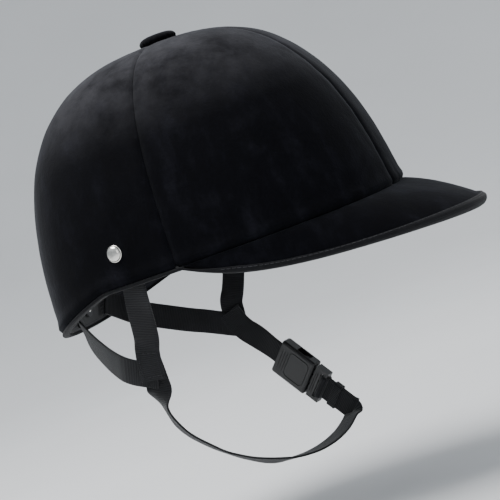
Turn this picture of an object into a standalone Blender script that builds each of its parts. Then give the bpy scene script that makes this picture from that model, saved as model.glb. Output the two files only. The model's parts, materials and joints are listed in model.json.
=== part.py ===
"""Velvet-covered riding helmet with a stiff peak and a buckled webbing harness.

Row frame: metres, +X forward over the peak, +Y to the wearer's left, +Z up through the crown.
The origin is the centre of the head opening, in the level plane of the side rim.
"""

import math

import bmesh
import bpy
import numpy as np
from mathutils import Matrix, Vector

# Dome, measured on the outer face of the velvet.
FRONT_LENGTH = 0.1275
REAR_LENGTH = 0.1345
HALF_WIDTH = 0.104
CROWN_HEIGHT = 0.147
WIDEST_Z = -0.050
REAR_DROP = 0.024
REAR_DROP_STARTS_X = -0.059
REAR_DROP_POWER = 1.15
PROFILE_POWER = 2.8
PROFILE_POWER_FRONT = 2.55
PLAN_POWER = 2.45
CROWN_HOLE = 0.003

# Depths of each layer below the outer face.
GAP = 0.0003
VELVET = (0.0, 0.0015)
SHELL = (0.0018, 0.0048)
LINER_OUTER = (0.0078, 0.0078)
LINER_INNER = (0.0240, 0.0180)
LINING = ((0.0256, 0.0196), (0.0266, 0.0206))
HEADBAND = ((0.0250, 0.0190), (0.0310, 0.0235))
LINER_RIM_RISE = 0.006
LINER_REAR_SHARE = 0.25
HEADBAND_RISE = 0.034
LINING_HOLE = 0.030

# Peak.
PEAK_REACH = 0.181
PEAK_HALF_WIDTH = 0.103
PEAK_DROP = 0.029
PEAK_DROP_LENGTH = 0.052
PEAK_BULGE = 0.0035
PEAK_END_ANGLE = math.radians(88.0)
PEAK_TOP = (0.0, 0.0012)
PEAK_CORE = (0.0015, 0.0041)
PEAK_UNDER = (0.0044, 0.0054)
PEAK_EDGE = (-0.0004, 0.0058)
EDGE_WIDTH = 0.0023

# Rim binding, crown button and rivets.
BINDING_HEIGHT = 0.0023
BUTTON_RADIUS = 0.0130
BUTTON_RISE = 0.0058
SHANK_RADIUS = 0.0018
RIVET_RADIUS = 0.0058
RIVET_RISE = 0.0030
RIVET_SHANK = 0.0016
RIVET_HOLE = 0.0021
SIDE_RIVET = (-0.040, 0.022)
REAR_RIVET_Z = -0.013

# Crown pad.
PAD_RADIUS = 0.042
PAD_FLAT_Z = 0.104
PAD_CLEARANCE = 0.0020

# Harness.
WEB_WIDTH = 0.018
WEB_THICK = 0.0014
STRAP_DEPTH = 0.0067
JUNCTION = Vector((-0.055, 0.0795, -0.060))
PATCH_SIZE = (0.020, 0.0032, 0.019)
CHIN_LAYER_Y = JUNCTION.y - PATCH_SIZE[1] / 2 - 0.00035 - WEB_THICK / 2
ANCHOR_SIZE = (0.040, 0.018, 0.0020)
ANCHOR_DEPTH = 0.0070

# Side-release buckle, in its own frame: x along the strap towards the housing, y across, z outward.
BUCKLE_START = Vector((0.0150, 0.0580, -0.1430))
BUCKLE_END = Vector((-0.0340, 0.0745, -0.0850))
HOUSING_LENGTH = 0.032
HOUSING_WIDTH = 0.029
HOUSING_THICK = 0.0095
HOUSING_WALL = 0.0018
HOUSING_START = 0.0330
WINDOW_START = 0.0400
WINDOW_LENGTH = 0.0120
PRONG_WIDTH = 0.0034
PRONG_THICK = 0.0042
PRONG_LENGTH = 0.0165
PRONG_ROOT = 0.0325
KEEPER_LENGTH = 0.008

DOME_COLUMNS = 40
SEGMENTS_PER_GORE = DOME_COLUMNS // 4
ROUND_SEGMENTS = 20

VELVET_BLACK = (0.010, 0.010, 0.013)
WEBBING_BLACK = (0.012, 0.012, 0.014)
PLASTIC_BLACK = (0.015, 0.015, 0.016)
TAPE_BLACK = (0.012, 0.012, 0.014)


# ---------------------------------------------------------------- helpers


def material(name, colour, roughness, metallic=0.0):
    made = bpy.data.materials.get(name) or bpy.data.materials.new(name)
    made.use_nodes = True
    shader = made.node_tree.nodes["Principled BSDF"]
    shader.inputs["Base Color"].default_value = (*colour, 1.0)
    shader.inputs["Roughness"].default_value = roughness
    shader.inputs["Metallic"].default_value = metallic
    return made


def add_object(name, points, faces, made_of, origin=(0, 0, 0), parent=None, local=None):
    """One closed mesh object. Its points are in the row frame, or in the frame of the matrix local."""
    place = Matrix.Translation(Vector(origin)) if local is None else local
    if local is None:
        points = [Vector(p) - Vector(origin) for p in points]
    mesh = bpy.data.meshes.new(name)
    mesh.from_pydata([tuple(p) for p in points], [], faces)
    work = bmesh.new()
    work.from_mesh(mesh)
    bmesh.ops.recalc_face_normals(work, faces=work.faces)
    work.to_mesh(mesh)
    work.free()
    mesh.shade_smooth()
    mesh.set_sharp_from_angle(angle=math.radians(35))
    mesh.materials.append(made_of)
    made = bpy.data.objects.new(name, mesh)
    bpy.context.scene.collection.objects.link(made)
    made.matrix_world = place
    if parent is not None:
        made.parent = parent
        made.matrix_parent_inverse = parent.matrix_world.inverted()
    return made


def add_empty(name, place):
    made = bpy.data.objects.new(name, None)
    bpy.context.scene.collection.objects.link(made)
    made.matrix_world = place
    made.empty_display_size = 0.01
    return made


def skin_between(outer, inner, wrap):
    """Points and faces of the solid between two grids of points, rows by columns."""
    rows = len(outer)
    columns = len(outer[0])
    points = [p for row in outer for p in row] + [p for row in inner for p in row]
    offset = rows * columns

    def at(grid, row, column):
        return grid * offset + row * columns + column % columns

    def wall(first, second):
        return [at(0, *first), at(0, *second), at(1, *second), at(1, *first)]

    faces = []
    spans = columns if wrap else columns - 1
    for row in range(rows - 1):
        for column in range(spans):
            corners = [(row, column), (row, column + 1), (row + 1, column + 1), (row + 1, column)]
            faces.append([at(0, *corner) for corner in corners])
            faces.append([at(1, *corner) for corner in reversed(corners)])
    for row in (0, rows - 1):
        faces += [wall((row, column), (row, column + 1)) for column in range(spans)]
    if not wrap:
        for column in (0, columns - 1):
            faces += [wall((row, column), (row + 1, column)) for row in range(rows - 1)]
    return points, faces


def box_faces(low, high):
    """Points and faces of an upright box."""
    points = [(x, y, z) for x in (low[0], high[0]) for y in (low[1], high[1]) for z in (low[2], high[2])]
    faces = [(0, 1, 3, 2), (4, 6, 7, 5), (0, 4, 5, 1), (2, 3, 7, 6), (0, 2, 6, 4), (1, 5, 7, 3)]
    return points, faces


def turned(profile, segments=ROUND_SEGMENTS, bore=None):
    """A solid turned about Z from (radius, height) pairs; bore is the radius of a hole right through."""
    points = []
    faces = []
    ring = profile if bore is None else profile + [(bore, profile[-1][1]), (bore, profile[0][1])]
    for radius, height in ring:
        for step in range(segments):
            angle = 2 * math.pi * step / segments
            points.append((radius * math.cos(angle), radius * math.sin(angle), height))
    count = len(ring)
    pairs = count if bore is not None else count - 1
    for level in range(pairs):
        for step in range(segments):
            ahead = (step + 1) % segments
            above = (level + 1) % count
            faces.append([level * segments + step, level * segments + ahead,
                          above * segments + ahead, above * segments + step])
    if bore is None:
        faces.append(list(range(segments))[::-1])
        faces.append([(count - 1) * segments + step for step in range(segments)])
    return points, faces


def cut(target, name, points, faces, local):
    """Cuts a closed shape out of the target."""
    cutter = bpy.data.objects.get(name)
    if cutter is None:
        cutter = add_object(name, points, faces, material("cutter", (1, 0, 0), 0.5), local=local)
        cutter.hide_render = True
        cutter.display_type = "WIRE"
    modifier = target.modifiers.new(name, "BOOLEAN")
    modifier.operation = "DIFFERENCE"
    modifier.solver = "EXACT"
    modifier.object = cutter


def smooth_route(stations, steps):
    """Points and outward normals along a Catmull-Rom curve through (point, normal) stations."""
    places = [np.array(place, float) for place, _ in stations]
    normals = [np.array(normal, float) / np.linalg.norm(normal) for _, normal in stations]
    places = [2 * places[0] - places[1]] + places + [2 * places[-1] - places[-2]]
    normals = [normals[0]] + normals + [normals[-1]]
    route = []
    for index in range(1, len(places) - 2):
        last = index == len(places) - 3
        for step in range(steps + last):
            t = step / steps
            weights = (
                (-t + 2 * t * t - t**3) / 2,
                (2 - 5 * t * t + 3 * t**3) / 2,
                (t + 4 * t * t - 3 * t**3) / 2,
                (-t * t + t**3) / 2,
            )
            place = sum(w * p for w, p in zip(weights, places[index - 1:index + 3]))
            normal = sum(w * n for w, n in zip(weights, normals[index - 1:index + 3]))
            route.append((place, normal / np.linalg.norm(normal)))
    return route


def ribbon(route, width=WEB_WIDTH, thick=WEB_THICK):
    """Points and faces of a flat strap that follows the route."""
    places = np.array([place for place, _ in route])
    tangents = np.gradient(places, axis=0)
    points = []
    for (place, normal), tangent in zip(route, tangents):
        across = np.cross(tangent, normal)
        across /= np.linalg.norm(across)
        outward = np.cross(across, tangent)
        outward /= np.linalg.norm(outward)
        for side, layer in ((-1, -1), (1, -1), (1, 1), (-1, 1)):
            points.append(place + across * side * width / 2 + outward * layer * thick / 2)
    faces = []
    for start in range(0, 4 * (len(route) - 1), 4):
        for corner in range(4):
            after = (corner + 1) % 4
            faces.append([start + corner, start + after, start + 4 + after, start + 4 + corner])
    faces.append([3, 2, 1, 0])
    faces.append([len(points) - 4 + corner for corner in range(4)])
    return points, faces


# ---------------------------------------------------------------- dome


def plan_radius(angle, depth_along, depth_across):
    """Distance from the centre to a layer's outline in plan, in the direction of the angle."""
    half_length = FRONT_LENGTH if math.cos(angle) > 0 else REAR_LENGTH
    along = abs(math.cos(angle)) / (half_length - depth_along)
    across = abs(math.sin(angle)) / (HALF_WIDTH - depth_across)
    return (along**PLAN_POWER + across**PLAN_POWER) ** (-1 / PLAN_POWER)


def profile_power(angle):
    """How square the dome's profile is: rounder over the brow than at the sides and the nape."""
    return PROFILE_POWER + (PROFILE_POWER_FRONT - PROFILE_POWER) * max(0.0, math.cos(angle)) ** 2


def rim_height(angle):
    """Height of the shell's lower edge: level at the front and sides, falling towards the nape."""
    x = plan_radius(angle, 0, 0) * math.cos(angle)
    share = (REAR_DROP_STARTS_X - x) / (REAR_DROP_STARTS_X + REAR_LENGTH)
    return -REAR_DROP * max(0.0, share) ** REAR_DROP_POWER


def dome_at_height(angle, height, depth_along, depth_across=None):
    """A point on a layer of the dome at a height; one depth is enough for a layer of even depth."""
    if depth_across is None:
        depth_across = depth_along
    power = profile_power(angle)
    rise = CROWN_HEIGHT - WIDEST_Z - (depth_along + depth_across) / 2
    share = max(0.0, (height - WIDEST_Z) / rise)
    radius = plan_radius(angle, depth_along, depth_across) * (1 - share**power) ** (1 / power)
    return Vector((radius * math.cos(angle), radius * math.sin(angle), height))


def dome_normal(angle, height):
    """Outward normal of the dome's outer face."""
    step = 0.001
    here = dome_at_height(angle, height, 0)
    round_it = dome_at_height(angle + 0.01, height, 0) - here
    up_it = dome_at_height(angle, height + step, 0) - here
    return round_it.cross(up_it).normalized()


def dome_grid(angles, depths, lower_edge, rows, top_radius):
    """Points up a layer from its lower edge to a round hole at the crown; depths are (along, across)."""
    rise = CROWN_HEIGHT - WIDEST_Z - sum(depths) / 2
    grid = []
    for row in range(rows + 1):
        ring = []
        for angle in angles:
            power = profile_power(angle)
            reach = plan_radius(angle, *depths)
            start = math.asin(((lower_edge(angle) - WIDEST_Z) / rise) ** (power / 2))
            stop = math.acos((top_radius / reach) ** (power / 2))
            tilt = start + (stop - start) * row / rows
            radius = reach * math.cos(tilt) ** (2 / power)
            height = WIDEST_Z + rise * math.sin(tilt) ** (2 / power)
            ring.append((radius * math.cos(angle), radius * math.sin(angle), height))
        grid.append(ring)
    return grid


def all_round(columns=DOME_COLUMNS):
    return [2 * math.pi * column / columns for column in range(columns)]


def liner_edge(angle):
    return LINER_REAR_SHARE * rim_height(angle) + LINER_RIM_RISE


def build_dome():
    ring = all_round()
    outer = dome_grid(ring, (SHELL[0],) * 2, rim_height, 10, CROWN_HOLE)
    inner = dome_grid(ring, (SHELL[1],) * 2, rim_height, 10, CROWN_HOLE)
    plastic = material("shell", (0.05, 0.05, 0.05), 0.5)
    shell = add_object("outer_shell", *skin_between(outer, inner, True), plastic)

    outer = dome_grid(ring, LINER_OUTER, liner_edge, 8, 0.012)
    inner = dome_grid(ring, LINER_INNER, liner_edge, 8, 0.012)
    foam = material("foam", (0.75, 0.75, 0.72), 0.9)
    liner = add_object("impact_liner", *skin_between(outer, inner, True), foam)

    lining_edge = HEADBAND_RISE + 0.003
    outer = dome_grid(ring, LINING[0], lambda angle: lining_edge, 7, LINING_HOLE)
    inner = dome_grid(ring, LINING[1], lambda angle: lining_edge, 7, LINING_HOLE)
    cloth = material("lining", (0.02, 0.02, 0.025), 0.85)
    add_object("head_lining", *skin_between(outer, inner, True), cloth)

    velvet = material("velvet", VELVET_BLACK, 0.9)
    panels = {}
    names = ("velvet_front_left", "velvet_rear_left", "velvet_rear_right", "velvet_front_right")
    for quarter, name in enumerate(names):
        steps = range(SEGMENTS_PER_GORE + 1)
        angles = [math.pi / 2 * (quarter + step / SEGMENTS_PER_GORE) for step in steps]
        middle = math.pi / 2 * (quarter + 0.5)
        shift = [math.copysign(GAP / 2, math.cos(middle)), math.copysign(GAP / 2, math.sin(middle))]
        apart = Vector((*shift, 0))
        grids = []
        for depth in VELVET:
            grid = dome_grid(angles, (depth, depth), rim_height, 10, CROWN_HOLE)
            grids.append([[Vector(p) + apart for p in row] for row in grid])
        panels[name] = add_object(name, *skin_between(*grids, False), velvet)
    return shell, liner, panels


def build_headband():
    """A padded band round the opening, inside the liner."""
    grids = []
    for depths in HEADBAND:
        grid = []
        for share in (0.0, 0.5, 1.0):
            row = []
            for angle in all_round():
                low = liner_edge(angle) - 0.004
                height = low + (HEADBAND_RISE - low) * share
                row.append(dome_at_height(angle, height, *depths))
            grid.append(row)
        grids.append(grid)
    brushed = material("sweatband", (0.03, 0.03, 0.035), 0.8)
    add_object("headband", *skin_between(*grids, True), brushed)


def build_crown_pad():
    """A foam pad under the lining, domed above and flat below."""
    rise = CROWN_HEIGHT - WIDEST_Z - sum(LINING[1]) / 2
    profile = [(PAD_RADIUS - 0.002, PAD_FLAT_Z), (PAD_RADIUS, PAD_FLAT_Z + 0.002)]
    for step in range(6):
        radius = PAD_RADIUS * (1 - step / 5.5)
        share = (1 - (radius / (HALF_WIDTH - LINING[1][1])) ** PROFILE_POWER) ** (1 / PROFILE_POWER)
        profile.append((radius, WIDEST_Z + rise * share - PAD_CLEARANCE))
    add_object("crown_pad", *turned(profile, 32), material("pad", (0.03, 0.03, 0.035), 0.9))


def build_rim_binding():
    """Tape under the shell's edge, from one end of the peak round the nape to the other."""
    start = math.atan2(HALF_WIDTH, 0.0035)
    behind = [angle for angle in all_round() if math.pi / 2 - 0.01 < angle < 3 * math.pi / 2 + 0.01]
    angles = [start] + behind + [2 * math.pi - start]
    grids = []
    for depth in (0.0, SHELL[1]):
        grid = []
        for below in (GAP, GAP + BINDING_HEIGHT):
            row = []
            for angle in angles:
                edge = dome_at_height(angle, rim_height(angle), depth)
                row.append((edge.x, edge.y, edge.z - below))
            grid.append(row)
        grids.append(grid)
    tape = material("binding", TAPE_BLACK, 0.8)
    add_object("rim_binding", *skin_between(*grids, False), tape)


# ---------------------------------------------------------------- peak


def peak_surface(turn, share):
    """A point on the peak's upper face: turn runs round the brow, share from the dome to the free edge."""
    cosine = abs(math.cos(turn)) ** (2 / PLAN_POWER)
    sine = math.copysign(abs(math.sin(turn)) ** (2 / PLAN_POWER), math.sin(turn))
    root = Vector((FRONT_LENGTH * cosine, HALF_WIDTH * sine, -GAP))
    edge = Vector((PEAK_REACH * math.cos(turn), PEAK_HALF_WIDTH * math.sin(turn), 0))
    edge.z = -GAP - PEAK_DROP * (1 - math.exp(-edge.x / PEAK_DROP_LENGTH))
    place = root.lerp(edge, share)
    place.z += 4 * PEAK_BULGE * share * (1 - share) * math.cos(turn)
    return place


def peak_point(turn, from_edge, depth):
    """A point below the peak's upper face: 0 is at the dome, 1 at the covers' end, 2 at the free edge."""
    length = (peak_surface(turn, 1) - peak_surface(turn, 0)).length
    if from_edge <= 1:
        share = from_edge * (1 - (EDGE_WIDTH + GAP) / length)
    else:
        share = 1 - (2 - from_edge) * EDGE_WIDTH / length
    step = 0.01
    round_it = peak_surface(turn + step, share) - peak_surface(turn - step, share)
    out_it = peak_surface(turn, share + step) - peak_surface(turn, share - step)
    normal = out_it.cross(round_it).normalized()
    place = peak_surface(turn, share) - normal * depth
    place.z = min(place.z, -GAP)
    return place


def build_peak():
    turns = [PEAK_END_ANGLE * (step / 14 - 1) for step in range(29)]
    layers = (
        ("peak_top_cover", PEAK_TOP, material("velvet", VELVET_BLACK, 0.9)),
        ("peak_core", PEAK_CORE, material("peak_board", (0.08, 0.07, 0.06), 0.6)),
        ("peak_under_cover", PEAK_UNDER, material("under_cloth", (0.012, 0.012, 0.014), 0.85)),
        ("peak_edge_binding", PEAK_EDGE, material("binding", TAPE_BLACK, 0.8)),
    )
    covered = [row / 4 for row in range(5)]
    bound = [1.0001, 2.0]
    for name, depths, made_of in layers:
        rows = bound if name == "peak_edge_binding" else covered
        grids = [[[peak_point(turn, row, depth) for turn in turns] for row in rows] for depth in depths]
        add_object(name, *skin_between(*grids, False), made_of)


# ---------------------------------------------------------------- fasteners


def frame_on_dome(angle, height):
    """A frame on the dome's outer face with Z along its outward normal."""
    normal = dome_normal(angle, height)
    turn = normal.to_track_quat("Z", "Y").to_matrix().to_4x4()
    return Matrix.Translation(dome_at_height(angle, height, 0)) @ turn


def build_rivets(shell, liner, panels, straps):
    nickel = material("nickel", (0.72, 0.70, 0.66), 0.25, 1.0)
    foot = GAP + 0.0004
    curve = [math.radians(degrees) for degrees in (0, 20, 40, 60, 78)]
    dome = [(RIVET_RADIUS * math.cos(turn), foot + RIVET_RISE * math.sin(turn)) for turn in curve]
    profile = [(RIVET_SHANK, -0.0102), (RIVET_SHANK, GAP), (RIVET_RADIUS, GAP)] + dome
    washer = [(0.0048, -0.0095), (0.0048, -0.0086)]
    rear_angle = math.pi
    side_angle = math.acos(SIDE_RIVET[0] / math.hypot(SIDE_RIVET[0], dome_side_reach()))
    for side, angle in (("right", -side_angle), ("left", side_angle), ("rear", rear_angle)):
        height = REAR_RIVET_Z if side == "rear" else SIDE_RIVET[1]
        place = frame_on_dome(angle, height)
        name = "rear_rivet" if side == "rear" else f"side_rivet_{side}"
        washer_name = "rear_rivet_washer" if side == "rear" else f"side_rivet_washer_{side}"
        add_object(name, *turned(profile), nickel, local=place)
        add_object(washer_name, *turned(washer, bore=0.0020), nickel, local=place)
        hole = turned([(RIVET_HOLE, -0.0120), (RIVET_HOLE, 0.0060)], 16)
        cutters = ("velvet_rear_right", "velvet_rear_left") if side == "rear" else (f"velvet_rear_{side}",)
        for target in [shell] + [panels[cover] for cover in cutters] + [straps[side]]:
            cut(target, f"hole_{side}", *hole, place)
        if side != "rear":
            cut(liner, f"recess_{side}", *turned([(0.0075, -0.0115), (0.0075, 0.0)], 16), place)


def dome_side_reach():
    """Half-width of the dome level with the side rivets, close to where they sit."""
    return dome_at_height(math.radians(110), SIDE_RIVET[1], 0).y


def build_crown_button():
    button = material("button_velvet", VELVET_BLACK, 0.9)
    curve = [math.radians(degrees) for degrees in (0, 18, 36, 54, 72)]
    dome = [(BUTTON_RADIUS * math.cos(turn), 0.0008 + BUTTON_RISE * math.sin(turn)) for turn in curve]
    place = Matrix.Translation((0, 0, CROWN_HEIGHT + GAP))
    shank = [(SHANK_RADIUS, -0.0072), (SHANK_RADIUS, 0.0), (BUTTON_RADIUS, 0.0)]
    profile = shank + dome + [(0.0015, 0.0066)]
    add_object("crown_button", *turned(profile, 24), button, local=place)
    steel = material("steel", (0.55, 0.55, 0.55), 0.35, 1.0)
    washer = turned([(0.0070, -0.0065), (0.0070, -0.0055)], bore=0.0022)
    add_object("crown_button_washer", *washer, steel, local=place)


# ---------------------------------------------------------------- harness


def mirrored(stations, side):
    return [((x, side * y, z), (nx, side * ny, nz)) for (x, y, z), (nx, ny, nz) in stations]


def front_strap_stations(side):
    """From inside the shell, past the rivet, out under the rim and down to the junction."""
    angle = math.atan2(dome_side_reach(), SIDE_RIVET[0])
    stations = []
    for height in (SIDE_RIVET[1] + 0.013, SIDE_RIVET[1], 0.006, -0.004):
        inside = dome_at_height(angle, height, STRAP_DEPTH)
        stations.append((tuple(inside), tuple(dome_normal(angle, height))))
    stations.append(((-0.0432, 0.0885, -0.0220), (-0.05, 0.93, -0.35)))
    stations.append(((-0.0480, 0.0825, -0.0380), (0, 0.97, -0.20)))
    patch_top = JUNCTION.z + PATCH_SIZE[2] / 2
    stations.append(((-0.0520, JUNCTION.y + 0.0002, patch_top + 0.0045), (0, 1, 0)))
    stations.append(((-0.0522, JUNCTION.y, patch_top + 2 * GAP), (0, 1, 0)))
    return mirrored(stations, side)


REAR_ROUTE = [
    ((-0.1222, 0.0225, -0.0130), (-0.95, 0.30, -0.10)),
    ((-0.1180, 0.0325, -0.0200), (-0.90, 0.42, -0.10)),
    ((-0.1095, 0.0440, -0.0300), (-0.80, 0.60, 0.0)),
    ((-0.0970, 0.0575, -0.0400), (-0.65, 0.76, 0.0)),
    ((-0.0845, 0.0692, -0.0490), (-0.45, 0.89, 0.0)),
    ((-0.0775, 0.0755, -0.0550), (-0.25, 0.96, 0.0)),
    ((JUNCTION.x - PATCH_SIZE[0] / 2 - 0.0070, JUNCTION.y - 0.0012, JUNCTION.z + 0.0006), (-0.10, 0.99, 0)),
    ((JUNCTION.x - PATCH_SIZE[0] / 2 - 0.0035, JUNCTION.y - 0.0002, JUNCTION.z), (0, 1, 0)),
    ((JUNCTION.x - PATCH_SIZE[0] / 2 - 2 * GAP, JUNCTION.y, JUNCTION.z), (0, 1, 0)),
]

CHIN_ROUTE = [
    ((JUNCTION.x, -CHIN_LAYER_Y, -0.0530), (0, -1, 0)),
    ((JUNCTION.x, -CHIN_LAYER_Y, -0.0700), (0, -1, 0)),
    ((-0.0553, -CHIN_LAYER_Y, -0.0755), (0, -1, 0)),
    ((-0.0568, -0.0752, -0.0870), (-0.80, -0.58, -0.10)),
    ((-0.0545, -0.0700, -0.1040), (-0.72, -0.56, -0.40)),
    ((-0.0480, -0.0605, -0.1190), (-0.60, -0.54, -0.58)),
    ((-0.0392, -0.0475, -0.1335), (-0.50, -0.42, -0.76)),
    ((-0.0282, -0.0340, -0.1455), (-0.35, -0.45, -0.82)),
    ((-0.0175, -0.0190, -0.1545), (-0.15, -0.45, -0.88)),
    ((-0.0070, -0.0020, -0.1590), (-0.05, -0.15, -1.0)),
    ((0.0040, 0.0170, -0.1600), (0.10, 0.15, -0.98)),
    ((0.0125, 0.0340, -0.1570), (0.25, 0.40, -0.88)),
    ((0.0175, 0.0490, -0.1515), (0.40, 0.75, -0.50)),
]


def buckle_frame():
    """X runs up the strap from the free side to the housing, Z faces outward."""
    along = (BUCKLE_END - BUCKLE_START).normalized()
    outward = Vector((0.35, 1.0, 0.0))
    outward = (outward - along * outward.dot(along)).normalized()
    across = outward.cross(along)
    turn = Matrix((along, across, outward)).transposed().to_4x4()
    return Matrix.Translation(BUCKLE_START) @ turn


def in_row(place, point):
    return tuple(place @ Vector(point))


def build_harness():
    webbing = material("webbing", WEBBING_BLACK, 0.75)
    straps = {}
    for side, sign in (("right", -1), ("left", 1)):
        route = smooth_route(front_strap_stations(sign), 3)
        straps[side] = add_object(f"front_strap_{side}", *ribbon(route), webbing)
        route = smooth_route(mirrored(REAR_ROUTE, sign), 3)
        add_object(f"rear_strap_{side}", *ribbon(route), webbing)
        low = [-PATCH_SIZE[0] / 2, -PATCH_SIZE[1] / 2, -PATCH_SIZE[2] / 2]
        high = [-value for value in low]
        centre = Vector((JUNCTION.x, sign * JUNCTION.y, JUNCTION.z))
        place = Matrix.Translation(centre)
        patch = add_object(f"strap_junction_{side}", *box_faces(low, high), webbing, local=place)
        round_corners(patch, 0.0010)
    straps["rear"] = build_rear_anchor()
    return straps


def build_rear_anchor():
    """A plate riveted inside the nape, which holds both rear straps."""
    reach = ANCHOR_SIZE[0] / 2
    route = []
    for step in range(7):
        y = reach * (step / 3 - 1)
        angle = math.pi - math.asin(y / REAR_LENGTH)
        face = dome_at_height(angle, REAR_RIVET_Z, ANCHOR_DEPTH)
        route.append((np.array(face), np.array(dome_normal(angle, REAR_RIVET_Z))))
    shape = ribbon(route, ANCHOR_SIZE[1], ANCHOR_SIZE[2])
    return add_object("rear_anchor", *shape, material("anchor", PLASTIC_BLACK, 0.45))


def round_corners(target, width, segments=2):
    bevel = target.modifiers.new("rounded_edges", "BEVEL")
    bevel.width = width
    bevel.segments = segments
    bevel.limit_method = "ANGLE"
    bevel.angle_limit = math.radians(40)


def build_chin_loop():
    """The webbing that swings from the two junctions, with the buckle housing on the wearer's left."""
    webbing = material("webbing", WEBBING_BLACK, 0.75)
    plastic = material("buckle_plastic", PLASTIC_BLACK, 0.4)
    swing = add_empty("chin_swing_axis", Matrix.Translation((JUNCTION.x, 0, JUNCTION.z)))
    place = buckle_frame()

    outward = tuple(place.to_3x3() @ Vector((0, 0, 1)))
    straight = [(in_row(place, (x, 0, 0)), outward) for x in (-0.0080, -0.0040, -GAP)]
    route = smooth_route(CHIN_ROUTE + straight, 3)
    add_object("chin_strap", *ribbon(route), webbing, origin=swing.location, parent=swing)

    housing_end = HOUSING_START + HOUSING_LENGTH
    stations = [
        (in_row(place, (housing_end + GAP, 0, 0)), outward),
        (in_row(place, (housing_end + 0.0080, 0, 0)), outward),
        ((-0.0415, CHIN_LAYER_Y - 0.0007, -0.0765), (0, 1, 0)),
        ((-0.0475, CHIN_LAYER_Y - 0.0002, -0.0698), (0, 1, 0)),
        ((-0.0520, CHIN_LAYER_Y - 0.0001, -0.0618), (0, 1, 0)),
        ((JUNCTION.x, CHIN_LAYER_Y - 0.0001, -0.0530), (0, 1, 0)),
    ]
    route = smooth_route(stations, 4)
    add_object("chin_strap_left", *ribbon(route), webbing, origin=swing.location, parent=swing)

    low = (HOUSING_START, -HOUSING_WIDTH / 2, -HOUSING_THICK / 2)
    high = (housing_end, HOUSING_WIDTH / 2, HOUSING_THICK / 2)
    housing = add_object("buckle_housing", *box_faces(low, high), plastic, local=place, parent=swing)
    round_corners(housing, 0.0018)
    socket_end = HOUSING_START + 0.0240
    low = (HOUSING_START - 0.003, -HOUSING_WIDTH / 2 + 0.0042, -HOUSING_THICK / 2 + HOUSING_WALL)
    high = (socket_end, HOUSING_WIDTH / 2 - 0.0042, HOUSING_THICK / 2 - HOUSING_WALL)
    cut(housing, "buckle_socket", *box_faces(low, high), place)
    low = (WINDOW_START, -HOUSING_WIDTH / 2 - 0.003, -PRONG_THICK / 2 - 0.0006)
    high = (WINDOW_START + WINDOW_LENGTH, HOUSING_WIDTH / 2 + 0.003, PRONG_THICK / 2 + 0.0006)
    cut(housing, "prong_windows", *box_faces(low, high), place)
    return swing, place


def build_tongue(swing, place):
    """The half of the buckle that pulls out, with the doubled webbing end, the tail and their keeper."""
    plastic = material("buckle_plastic", PLASTIC_BLACK, 0.4)
    webbing = material("webbing", WEBBING_BLACK, 0.75)
    slide = add_empty("tongue_slide_axis", place)
    slide.parent = swing
    slide.matrix_parent_inverse = swing.matrix_world.inverted()

    low = (0.0210, -0.0135, -0.0030)
    high = (0.0320, 0.0135, 0.0030)
    tongue = add_object("buckle_tongue", *box_faces(low, high), plastic, local=place, parent=slide)
    tip = box_faces((0.0318, -0.0036, -0.0018), (0.0540, 0.0036, 0.0018))
    blade = add_object("tongue_blade", *tip, plastic, local=place, parent=slide)
    blade.hide_render = True
    blade.display_type = "WIRE"
    join = tongue.modifiers.new("blade", "BOOLEAN")
    join.operation = "UNION"
    join.object = blade
    cut(tongue, "webbing_slot", *box_faces((0.0240, -0.0108, -0.0050), (0.0268, 0.0108, 0.0050)), place)

    for name, side in (("buckle_prong_front", 1), ("buckle_prong_rear", -1)):
        outline = [
            (PRONG_ROOT, 0.0052), (PRONG_ROOT, 0.0052 + PRONG_WIDTH), (0.0408, 0.0088), (0.0412, 0.0128),
            (0.0440, 0.0128), (0.0485, 0.0094), (PRONG_ROOT + PRONG_LENGTH, 0.0080), (0.0470, 0.0056),
        ]
        points = [(x, side * y, z) for z in (-PRONG_THICK / 2, PRONG_THICK / 2) for x, y in outline]
        count = len(outline)
        faces = [[i, (i + 1) % count, count + (i + 1) % count, count + i] for i in range(count)]
        faces += [list(range(count))[::-1], list(range(count, 2 * count))]
        pivot = place @ Matrix.Translation((PRONG_ROOT, side * 0.0069, 0))
        points = [(x - PRONG_ROOT, y - side * 0.0069, z) for x, y, z in points]
        add_object(name, points, faces, plastic, local=pivot, parent=slide)

    doubled = box_faces((0.0, -WEB_WIDTH / 2, -WEB_THICK / 2), (0.0207, WEB_WIDTH / 2, WEB_THICK / 2))
    add_object("buckle_webbing", *doubled, webbing, local=place, parent=slide)
    level = WEB_THICK + GAP + 0.0002
    lying = [(x, level) for x in (0.0207, 0.0120, 0.0020)]
    hanging = [(-0.0030, 0.0021), (-0.0065, 0.0032)]
    stations = []
    for x, z in lying + hanging:
        stations.append((in_row(place, (x, 0, z)), tuple(place.to_3x3() @ Vector((0.15, 0, 1)))))
    add_object("strap_tail", *ribbon(smooth_route(stations, 3), WEB_WIDTH - 0.0005), webbing, parent=slide)

    keeper_start = 0.0070
    inner = 0.0005
    low_z = -WEB_THICK / 2 - inner
    high_z = level + WEB_THICK / 2 + inner
    half = WEB_WIDTH / 2 + inner
    wall = 0.0010
    outline = [(-half, low_z), (half, low_z), (half, high_z), (-half, high_z)]
    around = [(-half - wall, low_z - wall), (half + wall, low_z - wall),
              (half + wall, high_z + wall), (-half - wall, high_z + wall)]
    grids = []
    for ring in (around, outline):
        grids.append([[(x, y, z) for y, z in ring] for x in (0.0, KEEPER_LENGTH)])
    keeper = material("elastic", (0.014, 0.014, 0.016), 0.85)
    centre = place @ Matrix.Translation((keeper_start, 0, 0))
    add_object("strap_keeper", *skin_between(*grids, True), keeper, local=centre, parent=slide)


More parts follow.
